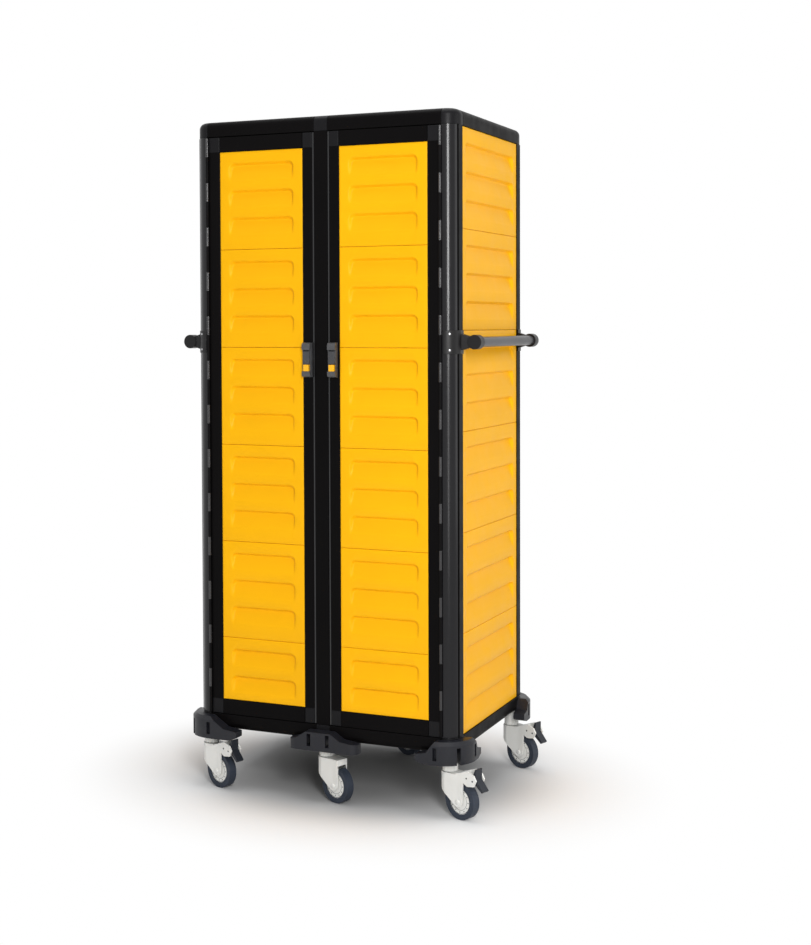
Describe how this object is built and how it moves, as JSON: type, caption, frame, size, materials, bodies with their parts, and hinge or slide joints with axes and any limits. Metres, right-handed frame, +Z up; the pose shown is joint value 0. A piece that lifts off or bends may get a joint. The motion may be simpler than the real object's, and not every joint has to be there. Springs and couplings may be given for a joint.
{
  "type": "meal tray cart",
  "caption": "Tall two-door enclosed meal tray cart with ribbed panels, tray ledges, side push handles, corner bumpers and swivel casters with brakes.",
  "frame": {"origin": "on the floor, under the middle of the cabinet (the casters trail to +X, so the outline as a whole is not centred on it)", "axes": "+Z up, -Y towards the two doors, +X towards the right-hand door and right-hand push handle as seen from the front"},
  "size_m": [0.9433, 0.624, 1.888],
  "materials": {
    "black_frame": "glossy black coated extrusion",
    "black_moulding": "black moulding with a slight sheen",
    "brake_plastic": "dark moulded pedal",
    "caster_white": "moulded white nylon",
    "charcoal_bumper": "charcoal moulding",
    "grey_latch": "dark grey moulding",
    "grey_seal": "light grey seal",
    "grey_tube": "dark grey coated tube",
    "hinge_metal": "black coated steel",
    "liner_plastic": "light grey moulded runners",
    "sheet_metal": "black coated sheet",
    "steel": "plain steel",
    "tyre_rubber": "grey-blue elastic tread",
    "yellow_button": "yellow moulded button",
    "yellow_panel": "satin yellow moulding"
  },
  "bodies": {
    "cabinet": {"base_panel": "sheet_metal", "bottom_connectors": "black_moulding", "bottom_rails": "black_frame", "bumpers": "charcoal_bumper", "caster_stems": "caster_white", "centre_divider": "liner_plastic", "centre_posts": "black_frame", "corner_posts": "black_frame", "handle_sockets": "black_moulding", "handle_tubes": "grey_tube", "hinge_pins": "hinge_metal", "hinge_post_leaves": "hinge_metal", "latch_strikes": "steel", "post_clamps": "black_moulding", "rear_panels": "yellow_panel", "roof_panel": "sheet_metal", "side_panels": "yellow_panel", "top_connectors": "black_moulding", "top_rails": "black_frame", "tray_liners": "liner_plastic"},
    "door_right": {"door_frame_right": "black_frame", "door_corners_right": "black_moulding", "door_panels_right": "yellow_panel", "door_seals_right": "grey_seal", "hinge_leaf_right": "hinge_metal", "latch_body_right": "grey_latch"},
    "lever_right": {"latch_lever_right": "grey_latch"},
    "button_right": {"latch_button_right": "yellow_button"},
    "bolt_right": {"latch_bolt_right": "steel"},
    "door_left": {"door_frame_left": "black_frame", "door_corners_left": "black_moulding", "door_panels_left": "yellow_panel", "door_seals_left": "grey_seal", "hinge_leaf_left": "hinge_metal", "latch_body_left": "grey_latch"},
    "lever_left": {"latch_lever_left": "grey_latch"},
    "button_left": {"latch_button_left": "yellow_button"},
    "bolt_left": {"latch_bolt_left": "steel"},
    "fork_front_left": {"caster_fork_front_left": "caster_white"},
    "wheel_front_left": {"caster_hub_front_left": "caster_white", "caster_tyre_front_left": "tyre_rubber"},
    "pedal_front_left": {"brake_pedal_front_left": "brake_plastic"},
    "fork_front_centre": {"caster_fork_front_centre": "caster_white"},
    "wheel_front_centre": {"caster_hub_front_centre": "caster_white", "caster_tyre_front_centre": "tyre_rubber"},
    "fork_front_right": {"caster_fork_front_right": "caster_white"},
    "wheel_front_right": {"caster_hub_front_right": "caster_white", "caster_tyre_front_right": "tyre_rubber"},
    "pedal_front_right": {"brake_pedal_front_right": "brake_plastic"},
    "fork_rear_left": {"caster_fork_rear_left": "caster_white"},
    "wheel_rear_left": {"caster_hub_rear_left": "caster_white", "caster_tyre_rear_left": "tyre_rubber"},
    "pedal_rear_left": {"brake_pedal_rear_left": "brake_plastic"},
    "fork_rear_centre": {"caster_fork_rear_centre": "caster_white"},
    "wheel_rear_centre": {"caster_hub_rear_centre": "caster_white", "caster_tyre_rear_centre": "tyre_rubber"},
    "fork_rear_right": {"caster_fork_rear_right": "caster_white"},
    "wheel_rear_right": {"caster_hub_rear_right": "caster_white", "caster_tyre_rear_right": "tyre_rubber"},
    "pedal_rear_right": {"brake_pedal_rear_right": "brake_plastic"}
  },
  "joints": [
    {"name": "door_right_hinge", "type": "hinge", "parent": "cabinet", "child": "door_right", "pos_m": [0.35225, -0.2822, 1.029], "axis": [0, 0, 1], "range_deg": [0, 180]},
    {"name": "lever_right_pivot", "type": "hinge", "parent": "door_right", "child": "lever_right", "pos_m": [0.0385, -0.2873, 1.2415], "axis": [-1, 0, 0], "range_deg": [0, 35], "stiffness_Nm_per_rad": 0.05, "springref_deg": -11.46},
    {"name": "button_right_slide", "type": "slide", "parent": "door_right", "child": "button_right", "axis": [0, 1, 0], "range_m": [0, 0.003], "stiffness_N_per_m": 300, "springref_m": -0.001},
    {"name": "bolt_right_slide", "type": "slide", "parent": "door_right", "child": "bolt_right", "axis": [1, 0, 0], "range_m": [0, 0.003]},
    {"name": "door_left_hinge", "type": "hinge", "parent": "cabinet", "child": "door_left", "pos_m": [-0.35225, -0.2822, 1.029], "axis": [0, 0, -1], "range_deg": [0, 180]},
    {"name": "lever_left_pivot", "type": "hinge", "parent": "door_left", "child": "lever_left", "pos_m": [-0.0385, -0.2873, 1.2415], "axis": [-1, 0, 0], "range_deg": [0, 35], "stiffness_Nm_per_rad": 0.05, "springref_deg": -11.46},
    {"name": "button_left_slide", "type": "slide", "parent": "door_left", "child": "button_left", "axis": [0, 1, 0], "range_m": [0, 0.003], "stiffness_N_per_m": 300, "springref_m": -0.001},
    {"name": "bolt_left_slide", "type": "slide", "parent": "door_left", "child": "bolt_left", "axis": [-1, 0, 0], "range_m": [0, 0.003]},
    {"name": "swivel_front_left", "type": "hinge", "parent": "cabinet", "child": "fork_front_left", "pos_m": [-0.367, -0.252, 0.112], "axis": [0, 0, 1], "continuous": true},
    {"name": "wheel_front_left_spin", "type": "hinge", "parent": "fork_front_left", "child": "wheel_front_left", "pos_m": [-0.32686, -0.26741, 0.05], "axis": [0.3584, 0.9336, 0], "continuous": true},
    {"name": "pedal_front_left_pivot", "type": "hinge", "parent": "fork_front_left", "child": "pedal_front_left", "pos_m": [-0.27831, -0.28604, 0.115], "axis": [0.3584, 0.9336, 0], "range_deg": [0, 14]},
    {"name": "swivel_front_centre", "type": "hinge", "parent": "cabinet", "child": "fork_front_centre", "pos_m": [0, -0.252, 0.112], "axis": [0, 0, 1], "continuous": true},
    {"name": "wheel_front_centre_spin", "type": "hinge", "parent": "fork_front_centre", "child": "wheel_front_centre", "pos_m": [0.04014, -0.26741, 0.05], "axis": [0.3584, 0.9336, 0], "continuous": true},
    {"name": "swivel_front_right", "type": "hinge", "parent": "cabinet", "child": "fork_front_right", "pos_m": [0.367, -0.252, 0.112], "axis": [0, 0, 1], "continuous": true},
    {"name": "wheel_front_right_spin", "type": "hinge", "parent": "fork_front_right", "child": "wheel_front_right", "pos_m": [0.40714, -0.26741, 0.05], "axis": [0.3584, 0.9336, 0], "continuous": true},
    {"name": "pedal_front_right_pivot", "type": "hinge", "parent": "fork_front_right", "child": "pedal_front_right", "pos_m": [0.45569, -0.28604, 0.115], "axis": [0.3584, 0.9336, 0], "range_deg": [0, 14]},
    {"name": "swivel_rear_left", "type": "hinge", "parent": "cabinet", "child": "fork_rear_left", "pos_m": [-0.367, 0.252, 0.112], "axis": [0, 0, 1], "continuous": true},
    {"name": "wheel_rear_left_spin", "type": "hinge", "parent": "fork_rear_left", "child": "wheel_rear_left", "pos_m": [-0.32686, 0.23659, 0.05], "axis": [0.3584, 0.9336, 0], "continuous": true},
    {"name": "pedal_rear_left_pivot", "type": "hinge", "parent": "fork_rear_left", "child": "pedal_rear_left", "pos_m": [-0.27831, 0.21796, 0.115], "axis": [0.3584, 0.9336, 0], "range_deg": [0, 14]},
    {"name": "swivel_rear_centre", "type": "hinge", "parent": "cabinet", "child": "fork_rear_centre", "pos_m": [0, 0.252, 0.112], "axis": [0, 0, 1], "continuous": true},
    {"name": "wheel_rear_centre_spin", "type": "hinge", "parent": "fork_rear_centre", "child": "wheel_rear_centre", "pos_m": [0.04014, 0.23659, 0.05], "axis": [0.3584, 0.9336, 0], "continuous": true},
    {"name": "swivel_rear_right", "type": "hinge", "parent": "cabinet", "child": "fork_rear_right", "pos_m": [0.367, 0.252, 0.112], "axis": [0, 0, 1], "continuous": true},
    {"name": "wheel_rear_right_spin", "type": "hinge", "parent": "fork_rear_right", "child": "wheel_rear_right", "pos_m": [0.40714, 0.23659, 0.05], "axis": [0.3584, 0.9336, 0], "continuous": true},
    {"name": "pedal_rear_right_pivot", "type": "hinge", "parent": "fork_rear_right", "child": "pedal_rear_right", "pos_m": [0.45569, 0.21796, 0.115], "axis": [0.3584, 0.9336, 0], "range_deg": [0, 14]}
  ],
  "couplings": [
    {"joint": "bolt_right_slide", "follows": "lever_right_pivot", "m_per_rad": 0.00491},
    {"joint": "bolt_left_slide", "follows": "lever_left_pivot", "m_per_rad": 0.00491}
  ]
}
